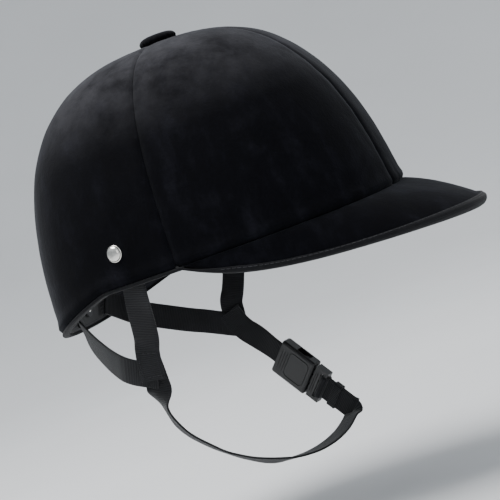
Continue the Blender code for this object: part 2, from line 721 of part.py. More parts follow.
def main():
    for old in list(bpy.data.objects):
        bpy.data.objects.remove(old, do_unlink=True)
    shell, liner, panels = build_dome()
    build_headband()
    build_crown_pad()
    build_rim_binding()
    build_peak()
    build_crown_button()
    straps = build_harness()
    build_rivets(shell, liner, panels, straps)
    swing, place = build_chin_loop()
    build_tongue(swing, place)


main()
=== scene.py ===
"""Looks of a velvet-covered riding helmet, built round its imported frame.

Metres, +X over the peak, +Y to the wearer's left, +Z up; the origin is in the level plane of the rim.
"""

import json
import math

import bmesh
import bpy
import numpy as np
from mathutils import Matrix, Vector, noise


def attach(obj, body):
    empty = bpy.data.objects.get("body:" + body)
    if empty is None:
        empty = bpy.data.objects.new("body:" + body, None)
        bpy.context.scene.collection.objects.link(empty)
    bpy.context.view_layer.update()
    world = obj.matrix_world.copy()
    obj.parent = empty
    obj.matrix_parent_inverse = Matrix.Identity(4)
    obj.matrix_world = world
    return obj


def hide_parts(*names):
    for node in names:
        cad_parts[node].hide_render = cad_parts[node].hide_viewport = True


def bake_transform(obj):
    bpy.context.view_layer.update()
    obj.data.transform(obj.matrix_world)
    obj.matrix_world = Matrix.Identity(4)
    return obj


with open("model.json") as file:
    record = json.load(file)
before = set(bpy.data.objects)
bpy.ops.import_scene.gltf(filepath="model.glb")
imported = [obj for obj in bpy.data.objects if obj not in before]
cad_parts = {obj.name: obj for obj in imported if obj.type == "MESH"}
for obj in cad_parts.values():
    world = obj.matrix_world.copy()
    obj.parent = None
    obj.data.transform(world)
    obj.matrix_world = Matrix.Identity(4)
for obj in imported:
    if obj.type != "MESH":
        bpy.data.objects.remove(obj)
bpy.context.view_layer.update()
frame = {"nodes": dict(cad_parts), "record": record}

FORWARD = (1.0, 0.0, 0.0)
UPWARD = (0.0, 0.0, 1.0)

# Dome, on the outer face of the velvet.
FRONT_LENGTH = 0.1275
REAR_LENGTH = 0.1345
HALF_WIDTH = 0.104
CROWN_HEIGHT = 0.147
WIDEST_Z = -0.05
REAR_DROP = 0.024
REAR_DROP_STARTS_X = -0.059
REAR_DROP_POWER = 1.15
PROFILE_POWER = 2.8
PROFILE_POWER_FRONT = 2.55
PLAN_POWER = 2.45

# Relief of the velvet, as (height, width): the sewn groove, the dip round it, the fullness beside it,
# the roll under the rim and the lip above that.
SEAM_GROOVE = (0.0009, 0.0013)
SEAM_DIP = (0.0003, 0.0055)
SEAM_FULLNESS = (0.0002, 0.0045)
FULLNESS_FROM_SEAM = 0.006
SEAM_CROWDING = 0.45
SEAM_HALF_GAP = 0.00015
RIM_ROLL = (0.0015, 0.0028)
RIM_LIP = (0.0009, 0.0032)
RIM_LIP_Z = 0.0042
# Heights over which the velvet's colour turns lighter towards the crown: dust and a painted highlight.
DUST_AND_HIGHLIGHT_Z = (0.085, 0.15)

# Depths of the layers below that face: (along, across) of the outer side, then of the inner.
VELVET_THICK = 0.0013
SHELL = ((0.0018, 0.0018), (0.0048, 0.0048))
LINER = ((0.0078, 0.0078), (0.024, 0.018))
LINING = ((0.0256, 0.0196), (0.0264, 0.0204))
HEADBAND = ((0.0249, 0.0189), (0.0312, 0.0237))
LINER_RIM_RISE = 0.006
LINER_REAR_SHARE = 0.25
HEADBAND_RISE = 0.034
HEADBAND_DIP = 0.004
HEADBAND_PAD = 0.046
LINING_HOLE = 0.03
LINING_SEAM = (0.0004, 0.0016)
SKIRT_DEPTH = 0.0084
SKIRT_NAPE_SHIFT = 0.0033
SKIRT_NAPE_X = (-0.056, -0.076)
RIM_CUT = 0.0001

# Peak.
PEAK_REACH = 0.181
PEAK_HALF_WIDTH = 0.103
PEAK_DROP = 0.029
PEAK_DROP_LENGTH = 0.052
PEAK_BULGE = 0.0035
PEAK_END = math.radians(88.7)
PEAK_TUCK = 0.0075
PEAK_VELVET_THICK = 0.0012
PEAK_UNDERSIDE = (0.0044, 0.0055)
EDGE_WIDTH = 0.0026
EDGE_LIP = 0.0046
EDGE_FULL_LENGTH = 0.016
PEAK_STITCH_INSET = 0.0035
BINDING_START = math.radians(87.0)

# Fasteners.
BUTTON_RADIUS = 0.013
RIVET_RADIUS = 0.0058
SIDE_RIVET = (-0.04, 0.022)
REAR_RIVET_Z = -0.013

# Crown pad.
PAD_RADIUS = 0.042
PAD_FLAT_Z = 0.104
PAD_CLEARANCE = 0.002
PAD_SEAM = 0.0022
PAD_SEAM_DEPTH = 0.35

# Harness.
WEB_WIDTH = 0.018
WEB_THICK = 0.0014
STRAP_DEPTH = 0.0067
JUNCTION = Vector((-0.055, 0.0795, -0.06))
PATCH_THICK = 0.0032
CHIN_LAYER_Y = JUNCTION.y - PATCH_THICK / 2 - 0.00035 - WEB_THICK / 2
BUCKLE_START = Vector((0.015, 0.058, -0.143))
BUCKLE_END = Vector((-0.034, 0.0745, -0.085))
KEEPER_START = 0.007
KEEPER_LENGTH = 0.008
ELASTIC_THICK = 0.0009
HOUSING_START = 0.033
HOUSING_END = 0.065
HOUSING_WIDTH = 0.029
HOUSING_THICK = 0.0095
TONGUE_START = 0.021
TONGUE_WIDTH = 0.027
TONGUE_THICK = 0.006
STITCH_LENGTH = 0.0026
STITCH_SPACING = 0.0036
STITCH_RADIUS = 0.00022
GAP = 0.0003
TAIL_LEVEL = WEB_THICK + GAP + 0.0002
BEAD = (0.00045, 0.0004)

# Camera, floor and lights.
CAMERA_AZIMUTH = math.radians(21.95)
CAMERA_ELEVATION = math.radians(2.58)
CAMERA_ROLL = math.radians(-20.34)
CAMERA_DISTANCE = 1.3
CAMERA_TARGET = Vector((0.025, 0.0, 0.0))
CAMERA_LENS = 134.8
CAMERA_SHIFT = (-0.027, -0.041)
FLOOR_Z = -0.2
FLOOR_RADIUS = 1.3
BEND_RADIUS = 2.2


# ---- materials


class Look:
    """A procedural material: a Principled shader with helpers that feed its sockets."""

    def __init__(self, name, roughness=0.8, metallic=0.0, **fixed):
        self.material = bpy.data.materials.new(name)
        self.material.use_nodes = True
        self.tree = self.material.node_tree
        self.shader = self.tree.nodes["Principled BSDF"]
        self.shader.inputs["Roughness"].default_value = roughness
        self.shader.inputs["Metallic"].default_value = metallic
        for socket, value in fixed.items():
            self.shader.inputs[socket.replace("_", " ")].default_value = value
        self.place = self.tree.nodes.new("ShaderNodeTexCoord")

    def node(self, kind, **settings):
        """Settings name its sockets, with _ for a space, or its attributes."""
        made = self.tree.nodes.new(kind)
        for key, value in settings.items():
            socket = key.replace("_", " ")
            if socket in made.inputs:
                made.inputs[socket].default_value = value
            else:
                setattr(made, key, value)
        return made

    def link(self, source, target):
        self.tree.links.new(source, target)

    def fed(self, kind, source, socket, output, **settings):
        """The output of a new node that takes a source."""
        made = self.node(kind, **settings)
        self.link(source, made.inputs[socket])
        return made.outputs[output]

    def noise(self, scale, detail=3.0, stretch=(1.0, 1.0, 1.0), rough=0.5, distortion=0.0):
        place = self.fed("ShaderNodeMapping", self.place.outputs["Object"], "Vector", "Vector", Scale=stretch)
        return self.fed("ShaderNodeTexNoise", place, "Vector", "Fac", Scale=scale, Detail=detail,
                        Roughness=rough, Distortion=distortion)

    def beads(self, scale):
        place = self.place.outputs["Object"]
        return self.fed("ShaderNodeTexVoronoi", place, "Vector", "Distance", Scale=scale)

    def ribs(self, period, direction, distortion=0.0):
        """Bands a period apart along the UV's X or Y, which are in metres."""
        return self.fed("ShaderNodeTexWave", self.place.outputs["UV"], "Vector", "Fac", wave_type="BANDS",
                        bands_direction=direction, Scale=math.pi / 10 / period, Distortion=distortion)

    def math(self, operation, first, second):
        made = self.node("ShaderNodeMath", operation=operation)
        for slot, value in enumerate((first, second)):
            if isinstance(value, float):
                made.inputs[slot].default_value = value
            else:
                self.link(value, made.inputs[slot])
        return made.outputs[0]

    def ramp(self, source, stops):
        made = self.node("ShaderNodeValToRGB")
        elements = made.color_ramp.elements
        while len(elements) < len(stops):
            elements.new(0.5)
        for element, (position, colour) in zip(elements, stops):
            element.position = position
            element.color = (*colour, 1.0)
        self.link(source, made.inputs["Fac"])
        return made.outputs["Color"]

    def mix(self, factor, first, second, blend="MIX"):
        made = self.node("ShaderNodeMix", data_type="RGBA", blend_type=blend)
        for socket, value in ((made.inputs[0], factor), (made.inputs[6], first), (made.inputs[7], second)):
            if isinstance(value, (float, tuple)):
                socket.default_value = value
            else:
                self.link(value, socket)
        return made.outputs[2]

    def tinted(self, base, source, stops):
        """A colour darkened or lightened by a ramp."""
        return self.mix(1.0, base, self.ramp(source, stops), "MULTIPLY")

    def colour(self, source):
        self.link(source, self.shader.inputs["Base Color"])

    def roughness(self, source, low, high):
        spread = self.fed("ShaderNodeMapRange", source, "Value", "Result", To_Min=low, To_Max=high)
        self.link(spread, self.shader.inputs["Roughness"])

    def bump(self, *layers):
        """Layers are (height source, strength, distance), each on top of the one before."""
        before = None
        for source, strength, distance in layers:
            made = self.node("ShaderNodeBump", Strength=strength, Distance=distance)
            self.link(source, made.inputs["Height"])
            if before is not None:
                self.link(before, made.inputs["Normal"])
            before = made.outputs["Normal"]
        self.link(before, self.shader.inputs["Normal"])


def velvet_look(name):
    """Black pile, brushed in patches, lighter and mottled at the crown with dust and a painted highlight,
    with a cool sheen where it turns away.
    """
    look = Look(name, roughness=0.95, Sheen_Weight=0.06, Sheen_Roughness=0.34,
                Sheen_Tint=(0.86, 0.9, 1.0, 1.0), Specular_IOR_Level=0.1)
    patches = look.noise(24.0, detail=5.0, rough=0.62, distortion=0.6)
    strokes = look.noise(80.0, detail=4.0, stretch=(1.0, 1.0, 0.35), rough=0.6)
    nap = look.noise(620.0, detail=3.0)
    pile = look.noise(2600.0, detail=2.0)
    brushed = look.math("MULTIPLY", patches, strokes)
    tone = look.ramp(brushed, [(0.12, (0.0006, 0.0007, 0.0018)), (0.27, (0.0016, 0.0018, 0.0034)),
                               (0.42, (0.007, 0.0073, 0.011))])
    cloth = look.tinted(tone, nap, [(0.3, (0.55, 0.55, 0.58)), (0.75, (1.0, 1.0, 1.0))])
    height = look.fed("ShaderNodeSeparateXYZ", look.place.outputs["Object"], "Vector", "Z")
    # Towards the crown the colour is mixed, in mottled patches, to a pale grey: partly dust, partly a painted
    # highlight from the overhead light.
    rise = look.fed("ShaderNodeMapRange", height, "Value", "Result", From_Min=DUST_AND_HIGHLIGHT_Z[0], From_Max=DUST_AND_HIGHLIGHT_Z[1])
    worn = look.ramp(look.noise(30.0, detail=7.0, rough=0.72, distortion=0.15),
                     [(0.36, (0.22, 0.22, 0.22)), (0.64, (1.0, 1.0, 1.0))])
    dust_and_highlight = look.math("MULTIPLY", look.math("MULTIPLY", rise, worn), 0.95)
    look.colour(look.mix(dust_and_highlight, cloth, (0.046, 0.046, 0.052, 1.0)))
    look.bump((patches, 0.35, 0.0022), (strokes, 0.3, 0.0008), (nap, 0.45, 0.0003), (pile, 0.35, 0.00012))
    return look.material


def webbing_look(name, tone):
    """Woven tape: cross ribs, finer threads along it, and a denser edge."""
    look = Look(name, roughness=0.82, Sheen_Weight=0.25, Sheen_Roughness=0.4, Specular_IOR_Level=0.3)
    ribs = look.ribs(0.0013, "X", distortion=0.15)
    threads = look.ribs(0.0009, "Y", distortion=0.1)
    weave = look.math("MULTIPLY", ribs, threads)
    fuzz = look.noise(1500.0)
    wear = look.noise(60.0, detail=4.0)
    dark = (tone * 0.45, tone * 0.48, tone * 0.58)
    light = (tone * 2.0, tone * 2.05, tone * 2.3)
    base = look.ramp(weave, [(0.05, dark), (0.8, light)])
    look.colour(look.tinted(base, wear, [(0.35, (0.75, 0.75, 0.78)), (0.7, (1.35, 1.35, 1.4))]))
    look.bump((ribs, 0.8, 0.00028), (threads, 0.5, 0.00015), (fuzz, 0.25, 0.00008))
    return look.material


def cloth_look(name, dark, light, period, sheen):
    """A plain-woven cloth with slubs and a little fading."""
    look = Look(name, roughness=0.88, Sheen_Weight=sheen, Sheen_Roughness=0.45, Specular_IOR_Level=0.25)
    warp = look.ribs(period, "X", distortion=0.4)
    weft = look.ribs(period, "Y", distortion=0.4)
    weave = look.math("MULTIPLY", warp, weft)
    slub = look.noise(240.0, detail=4.0)
    fade = look.noise(24.0, detail=4.0)
    base = look.ramp(look.math("ADD", look.math("MULTIPLY", weave, 0.5), look.math("MULTIPLY", slub, 0.5)),
                     [(0.15, dark), (0.65, light)])
    look.colour(look.tinted(base, fade, [(0.3, (0.78, 0.78, 0.8)), (0.75, (1.3, 1.3, 1.3))]))
    look.bump((weave, 0.6, 0.0002), (slub, 0.3, 0.00025))
    return look.material


def foam_look(name):
    """Moulded bead foam: rounded cells with darker joints."""
    look = Look(name, roughness=0.9, Specular_IOR_Level=0.3)
    cells = look.beads(330.0)
    stain = look.noise(30.0, detail=4.0)
    base = look.ramp(cells, [(0.2, (0.74, 0.73, 0.7)), (0.62, (0.52, 0.51, 0.48))])
    look.colour(look.tinted(base, stain, [(0.3, (0.88, 0.87, 0.84)), (0.7, (1.0, 1.0, 1.0))]))
    look.bump((cells, 0.5, -0.0006))
    return look.material


def plastic_look(name, tone, low, high):
    """Moulded plastic with a fine spark texture and rubbed patches."""
    look = Look(name, Specular_IOR_Level=0.5)
    grain = look.noise(1900.0, detail=2.0)
    rub = look.noise(110.0, detail=5.0)
    look.colour(look.ramp(rub, [(0.3, (tone * 0.75,) * 3), (0.72, (tone * 1.5, tone * 1.5, tone * 1.6))]))
    look.roughness(rub, low, high)
    look.bump((grain, 0.22, 0.00006), (rub, 0.08, 0.0003))
    return look.material


def metal_look(name, colour, low, high, scratch):
    """Plated metal with hairline scratches and slightly clouded patches."""
    look = Look(name, metallic=1.0)
    lines = look.noise(scratch, detail=3.0, stretch=(1.0, 0.08, 0.6))
    cloud = look.noise(320.0, detail=3.0)
    worn = tuple(c * 0.8 for c in colour)
    look.colour(look.ramp(cloud, [(0.35, worn), (0.6, colour)]))
    look.roughness(look.math("MULTIPLY", lines, cloud), low, high)
    look.bump((lines, 0.12, 0.00005))
    return look.material


def board_look(name):
    """Pressed fibre board, seen only where the peak is open."""
    look = Look(name, roughness=0.7)
    fibre = look.noise(420.0, detail=5.0, stretch=(0.3, 1.0, 1.0))
    look.colour(look.ramp(fibre, [(0.3, (0.012, 0.011, 0.01)), (0.7, (0.03, 0.027, 0.024))]))
    look.bump((fibre, 0.4, 0.0002))
    return look.material


LOOKS = {name: make(name, *how) for make, name, *how in (
    (velvet_look, "velvet"),
    (webbing_look, "webbing", 0.0085),
    (webbing_look, "elastic", 0.01),
    (cloth_look, "binding_tape", (0.0016, 0.0017, 0.0026), (0.0065, 0.0066, 0.0085), 0.0007, 0.08),
    (cloth_look, "under_cloth", (0.004, 0.004, 0.005), (0.014, 0.014, 0.016), 0.0006, 0.2),
    (cloth_look, "lining", (0.006, 0.006, 0.009), (0.024, 0.024, 0.031), 0.0008, 0.35),
    (cloth_look, "sweatband", (0.009, 0.009, 0.011), (0.03, 0.03, 0.035), 0.0009, 0.3),
    (cloth_look, "pad_fabric", (0.01, 0.01, 0.012), (0.034, 0.034, 0.04), 0.0012, 0.3),
    (cloth_look, "thread", (0.01, 0.01, 0.012), (0.036, 0.036, 0.042), 0.0004, 0.3),
    (foam_look, "foam"),
    (plastic_look, "shell_plastic", 0.03, 0.4, 0.6),
    (plastic_look, "buckle_plastic", 0.0095, 0.3, 0.48),
    (metal_look, "nickel", (0.82, 0.8, 0.75), 0.14, 0.32, 900.0),
    # Dark steel: partly a blackened finish, partly painted shade so the washers inside the helmet stay as
    # dark as the shade there.
    (metal_look, "steel", (0.1, 0.1, 0.105), 0.35, 0.55, 700.0),
    (board_look, "peak_board"),
)}


# ---- mesh helpers


def unit(vectors):
    return vectors / np.maximum(np.linalg.norm(vectors, axis=-1, keepdims=True), 1e-12)


def signed_power(value, power):
    return np.sign(value) * np.abs(value) ** power


def bell(distance, height, width):
    return height * np.exp(-(distance / width) ** 2)


def smooth_step(share):
    return share * share * (3 - 2 * share)


def full_circle(count):
    return np.linspace(0, 2 * math.pi, count, endpoint=False)


def distance_along(line):
    return np.concatenate([[0], np.cumsum(np.linalg.norm(np.diff(line, axis=0), axis=1))])


def read_off(line, run, at):
    """Values on a line at some distances along it."""
    return np.stack([np.interp(at, run, line[:, k]) for k in range(3)], -1)


def placed(name, data):
    made = bpy.data.objects.new(name, data)
    bpy.context.scene.collection.objects.link(made)
    return made


def piece(name, points, faces, slot, body="root", uvs=None, look=None, matrix=None, covers=()):
    """A mesh object with its finish, riding on a body unless that is None."""
    mesh = bpy.data.meshes.new(name)
    points = np.asarray(points, float).reshape(-1, 3)
    mesh.from_pydata(points.tolist(), [], [[int(i) for i in face] for face in faces])
    if uvs is None:
        uvs = points[:, [0, 2]]
    corners = np.empty(len(mesh.loops), np.int32)
    mesh.loops.foreach_get("vertex_index", corners)
    mesh.uv_layers.new(name="UVMap").data.foreach_set("uv", np.asarray(uvs, float)[corners].ravel())
    work = bmesh.new()
    work.from_mesh(mesh)
    bmesh.ops.recalc_face_normals(work, faces=work.faces)
    work.to_mesh(mesh)
    work.free()
    mesh.shade_smooth()
    mesh.set_sharp_from_angle(angle=math.radians(50))
    mesh.materials.append(look or LOOKS[slot])
    made = placed(name, mesh)
    if matrix is not None:
        made.matrix_world = matrix
    if body is not None:
        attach(made, body)
    if covers:
        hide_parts(*covers)
    return made


def grid_faces(rows, columns, wrap, offset=0, flip=False):
    """Quads between the points of a grid, whose rows join end to end if wrap is set."""
    starts = np.arange(rows - 1), np.arange(columns if wrap else columns - 1)
    row, column = np.meshgrid(*starts, indexing="ij")
    low, high = row * columns, (row + 1) * columns
    after = (column + 1) % columns
    faces = np.stack([low + column, low + after, high + after, high + column], -1).reshape(-1, 4) + offset
    return faces[:, ::-1] if flip else faces


def rim_faces(line, offset, wrap):
    after = np.roll(line, -1) if wrap else line[1:]
    before = line if wrap else line[:-1]
    return np.stack([before, after, after + offset, before + offset], -1)


def skin(outer, inner, wrap):
    """Points, faces and a metre-scaled UV of the closed solid between two grids."""
    rows, columns = outer.shape[:2]
    offset = rows * columns
    index = np.arange(offset).reshape(rows, columns)
    faces = [grid_faces(rows, columns, wrap), grid_faces(rows, columns, wrap, offset, True)]
    faces += [rim_faces(index[0], offset, wrap), rim_faces(index[-1], offset, wrap)]
    if not wrap:
        faces += [rim_faces(index[:, 0], offset, False), rim_faces(index[:, -1], offset, False)]
    across = np.linalg.norm(np.diff(outer, axis=1), axis=-1).mean()
    up = np.linalg.norm(np.diff(outer, axis=0), axis=-1).mean()
    v, u = np.meshgrid(np.arange(rows) * up, np.arange(columns) * across, indexing="ij")
    uvs = np.stack([u, v], -1).reshape(-1, 2)
    points = np.concatenate([outer.reshape(-1, 3), inner.reshape(-1, 3)])
    return points, [face for group in faces for face in group], np.concatenate([uvs, uvs])


def layered(name, outer, inner, slot, wrap=True, covers=()):
    """A piece that fills the space between two grids."""
    points, faces, uvs = skin(outer, inner, wrap)
    return piece(name, points, faces, slot, uvs=uvs, covers=covers)


def round_loop(points, axis=0):
    return np.roll(points, -1, axis) - np.roll(points, 1, axis)


def outward(grid, wrap=False):
    along = round_loop(grid, 1) if wrap else np.gradient(grid, axis=1)
    return unit(np.cross(along, np.gradient(grid, axis=0)))


def lumps(points, scale, seed=0.0):
    """Smooth noise, from -1 to 1, at each point; scale is waves per metre."""
    flat = points.reshape(-1, 3)
    shift = Vector((seed, 1.7 * seed, 2.3 * seed))
    values = [noise.noise(Vector(p) * scale + shift) for p in flat]
    return np.array(values).reshape(points.shape[:-1] + (1,))


def sweep(path, side, up, outline, closed=False):
    """A solid whose section, points (along side, along up), follows a path; UV runs along, then across."""
    outline = np.asarray(outline, float)
    if outline.ndim == 2:
        outline = np.broadcast_to(outline, (len(path),) + outline.shape)
    side, up = (np.broadcast_to(np.asarray(way, float), path.shape) for way in (side, up))
    rings = path[:, None] + side[:, None] * outline[..., :1] + up[:, None] * outline[..., 1:]
    count = outline.shape[1]
    faces = list(grid_faces(len(path), count, True))
    last = (len(path) - 1) * count
    if closed:
        faces += [[last + i, last + (i + 1) % count, (i + 1) % count, i] for i in range(count)]
    else:
        faces += [list(range(count)), [last + i for i in reversed(range(count))]]
    u = np.broadcast_to(distance_along(path)[:, None], (len(path), count))
    uvs = np.stack([u, outline[..., 0]], -1).reshape(-1, 2)
    return rings.reshape(-1, 3), faces, uvs


def swept(name, slot, solid, body="root", **more):
    """A piece made of one swept solid."""
    points, faces, uvs = solid
    return piece(name, points, faces, slot, body, uvs, **more)


def joined(solids):
    """Points and faces of several swept solids taken together."""
    points = []
    faces = []
    for made, found, _ in solids:
        faces += [[i + len(points) for i in face] for face in found]
        points += made.tolist()
    return points, faces


def smooth_route(stations, spacing=0.001):
    """Evenly spaced points and normals along a Catmull-Rom curve through (point, normal) stations."""
    knots = np.array([(*place, *unit(np.array(normal, float))) for place, normal in stations])
    first, last = knots[0].copy(), knots[-1].copy()
    first[:3] = 2 * knots[0, :3] - knots[1, :3]
    last[:3] = 2 * knots[-1, :3] - knots[-2, :3]
    knots = np.array([first, *knots, last])
    t = np.arange(0, 1, 0.05)[:, None]
    weights = ((-t + 2 * t * t - t**3) / 2, (2 - 5 * t * t + 3 * t**3) / 2,
               (t + 4 * t * t - 3 * t**3) / 2, (-t * t + t**3) / 2)
    spans = [sum(w * knots[i + k] for k, w in enumerate(weights)) for i in range(len(knots) - 3)]
    dense = np.concatenate(spans + [knots[-2:-1]])
    run = distance_along(dense[:, :3])
    wanted = np.linspace(0, run[-1], max(4, int(run[-1] / spacing)))
    return read_off(dense[:, :3], run, wanted), read_off(dense[:, 3:], run, wanted)


def web_outline(width, thick):
    """Section of a woven tape: flat faces, slightly thicker rounded edges."""
    half = width / 2
    top = [(s * half, thick / 2 * (1.0 + 0.12 * abs(s) ** 6)) for s in np.linspace(0.93, -0.93, 13)]
    end = [(-half * 0.985, thick * 0.4), (-half, 0.0), (-half * 0.985, -thick * 0.4)]
    return top + end + [(-x, -z) for x, z in top] + [(-x, -z) for x, z in end]


def strap(name, stations, body="root", width=WEB_WIDTH, covers=()):
    """Webbing along a route, with a trace of unevenness in its lie."""
    path, normal = smooth_route(stations)
    tangent = np.gradient(path, axis=0)
    side = unit(np.cross(tangent, normal))
    up = unit(np.cross(side, tangent))
    ease = np.minimum(1, np.minimum(np.arange(len(path)), np.arange(len(path))[::-1]) / 12)[:, None]
    path = path + up * lumps(path, 55.0, 3.0) * 0.0004 * ease
    solid = sweep(path, side, up, web_outline(width, WEB_THICK))
    return swept(name, "webbing", solid, body, covers=covers), (path, side, up)


def stitches(name, line, up, body="root", slot="webbing"):
    """A row of thread stitches lying on a surface along a line of points."""
    line = np.asarray(line, float)
    up = np.asarray(up, float)
    run = distance_along(line)
    ring = [(STITCH_RADIUS * math.cos(a), STITCH_RADIUS * math.sin(a)) for a in full_circle(6)]
    arch = np.array([-0.6, 0.5, 0.9, 0.5, -0.6]) * STITCH_RADIUS
    solids = []
    for start in np.arange(0.0006, run[-1] - STITCH_LENGTH, STITCH_SPACING):
        at = np.linspace(start, start + STITCH_LENGTH, len(arch))
        face = unit(read_off(up, run, at))
        path = read_off(line, run, at) + face * arch[:, None]
        solids.append(sweep(path, unit(np.cross(np.gradient(path, axis=0), face)), face, ring))
    return piece(name, *joined(solids), slot, body, look=LOOKS["thread"])


def turned(name, profile, slot, matrix, segments, wobble=None, covers=()):
    """A solid turned about the local Z axis from (radius, height) pairs, flat at both ends."""
    profile = np.asarray(profile, float)
    angle = full_circle(segments)
    radius = profile[:, :1] + np.zeros(segments)
    height = profile[:, 1:] + np.zeros(segments)
    if wobble is not None:
        radius, height = wobble(radius, height, angle)
    points = np.stack([radius * np.cos(angle), radius * np.sin(angle), height], -1)
    faces = list(grid_faces(len(profile), segments, True))
    last = (len(profile) - 1) * segments
    faces += [list(range(segments)), [last + i for i in reversed(range(segments))]]
    run = np.cumsum(np.linalg.norm(np.diff(profile, axis=0, prepend=profile[:1]), axis=1))
    u, v = np.meshgrid(angle * profile[:, 0].max(), run)
    return piece(name, points, faces, slot, uvs=np.stack([u, v], -1).reshape(-1, 2), matrix=matrix,
                 covers=covers)


# ---- dome surfaces


def profile_power(angle):
    """How full the dome's profile is; less so at the front."""
    return PROFILE_POWER + (PROFILE_POWER_FRONT - PROFILE_POWER) * np.maximum(0.0, np.cos(angle)) ** 2


def plan_radius(angle, depth_along=0.0, depth_across=0.0):
    """Radius of a layer where it is widest."""
    half_length = np.where(np.cos(angle) > 0, FRONT_LENGTH, REAR_LENGTH) - depth_along
    along = np.abs(np.cos(angle)) / half_length
    across = np.abs(np.sin(angle)) / (HALF_WIDTH - depth_across)
    return (along**PLAN_POWER + across**PLAN_POWER) ** (-1 / PLAN_POWER)


def rim_height(angle):
    """Level at the sides and lower towards the nape."""
    x = plan_radius(angle) * np.cos(angle)
    share = (REAR_DROP_STARTS_X - x) / (REAR_DROP_STARTS_X + REAR_LENGTH)
    return -REAR_DROP * np.maximum(0.0, share) ** REAR_DROP_POWER


def liner_edge(angle):
    return LINER_REAR_SHARE * rim_height(angle) + LINER_RIM_RISE


def at_height(angle, height, depth_along=0.0, depth_across=None):
    """Points of a layer at given heights."""
    depth_across = depth_along if depth_across is None else depth_across
    angle = np.asarray(angle, float)
    power = profile_power(angle)
    rise = CROWN_HEIGHT - WIDEST_Z - (depth_along + depth_across) / 2
    share = np.clip((height - WIDEST_Z) / rise, 0, 1)
    radius = plan_radius(angle, depth_along, depth_across) * (1 - share**power) ** (1 / power)
    return np.stack([radius * np.cos(angle), radius * np.sin(angle), height + 0 * angle], -1)


def layer(angles, shares, depths, lower, top_radius):
    """Points up a layer of the dome, from its lower edge to a hole of that radius at the crown."""
    depth_along, depth_across = depths
    power = profile_power(angles)
    reach = plan_radius(angles, depth_along, depth_across)
    rise = CROWN_HEIGHT - WIDEST_Z - (depth_along + depth_across) / 2
    start = np.arcsin(((lower - WIDEST_Z) / rise) ** (power / 2))
    stop = np.arccos((top_radius / reach) ** (power / 2))
    tilt = start + (stop - start) * shares[:, None]
    radius = reach * np.cos(tilt) ** (2 / power)
    height = WIDEST_Z + rise * np.sin(tilt) ** (2 / power)
    return np.stack([radius * np.cos(angles), radius * np.sin(angles), height], -1)


def dome_frame(angle, height):
    """A frame on the outer face, Z along the outward normal."""
    step = 0.002
    here = at_height(angle, height)
    round_it = at_height(angle + 0.01, height) - here
    up_it = at_height(angle, height + step) - here
    normal = Vector(np.cross(round_it, up_it)).normalized()
    return Matrix.Translation(Vector(here)) @ normal.to_track_quat("Z", "Y").to_matrix().to_4x4()


# ---- dome pieces


def build_velvet():
    """Four gores, dipping into their seams, full between them and rolled under at the rim."""
    names = ("velvet_front_left", "velvet_rear_left", "velvet_rear_right", "velvet_front_right")
    shares = np.concatenate([np.linspace(0, 0.1, 14)[:-1], np.linspace(0.1, 1, 78)])
    across = np.linspace(0, 1, 61)
    across = across - SEAM_CROWDING / (2 * math.pi) * np.sin(2 * math.pi * across)
    for quarter, name in enumerate(names):
        angles = math.pi / 2 * (quarter + across)
        base = layer(angles, shares, (0.0, 0.0), rim_height(angles), 0.004)
        normal = outward(base)
        radius = np.hypot(base[..., 0], base[..., 1])
        to_seam = np.minimum(across, 1 - across) * math.pi / 2 * radius
        seam = bell(to_seam, *SEAM_GROOVE) + bell(to_seam, *SEAM_DIP)
        fullness = bell(to_seam - FULLNESS_FROM_SEAM, *SEAM_FULLNESS)
        above = base[..., 2] - rim_height(angles)
        roll = RIM_ROLL[0] * np.clip(1 - above / RIM_ROLL[1], 0, 1) ** 2
        lip = bell(above - RIM_LIP_Z, *RIM_LIP)
        pucker = lumps(base, 190.0, 5.0) * 0.0003 * np.exp(-to_seam / 0.01)[..., None]
        hem = lumps(base, 140.0, 9.0) * 0.0006 * np.exp(-above / 0.01)[..., None]
        uneven = lumps(base, 22.0, 1.0) * 0.0005 + lumps(base, 70.0, 2.0) * 0.00018
        lift = (fullness + lip - seam - roll)[..., None] + pucker + hem + uneven
        middle = math.pi / 2 * (quarter + 0.5)
        base = base + SEAM_HALF_GAP * np.sign([math.cos(middle), math.sin(middle), 0])
        layered(f"{name}_cover", base + normal * lift, base - normal * (VELVET_THICK + seam[..., None]),
                "velvet", wrap=False, covers=(name,))


def build_shell_and_liner():
    """The moulded shell and the foam liner, each with a small hole at the crown."""
    ring = full_circle(180)
    shares = np.linspace(0, 1, 40)
    for name, slot, depths, lower, hole, node in (
        ("moulded_shell", "shell_plastic", SHELL, rim_height(ring) - RIM_CUT, 0.003, "outer_shell"),
        ("bead_foam_liner", "foam", LINER, liner_edge(ring), 0.012, "impact_liner"),
    ):
        outer, inner = (layer(ring, shares, depth, lower, hole) for depth in depths)
        layered(name, outer, inner, slot, covers=(node,))


def build_dome_lining():
    """Four sewn panels inside the dome."""
    ring = full_circle(192)
    shares = np.linspace(0, 1, 44)
    lower = np.full(ring.shape, HEADBAND_RISE + 0.002)
    outer, inner = (layer(ring, shares, depth, lower, LINING_HOLE) for depth in LINING)
    normal = outward(outer, True)
    radius = np.hypot(outer[..., 0], outer[..., 1])
    turn = np.abs((ring / (math.pi / 2) + 0.5) % 1 - 0.5) * math.pi / 2
    groove = bell(turn * radius, *LINING_SEAM)
    inner = inner + normal * (groove[..., None] + lumps(outer, 60.0, 4.0) * 0.0003)
    layered("dome_lining", outer, inner, "lining", covers=("head_lining",))


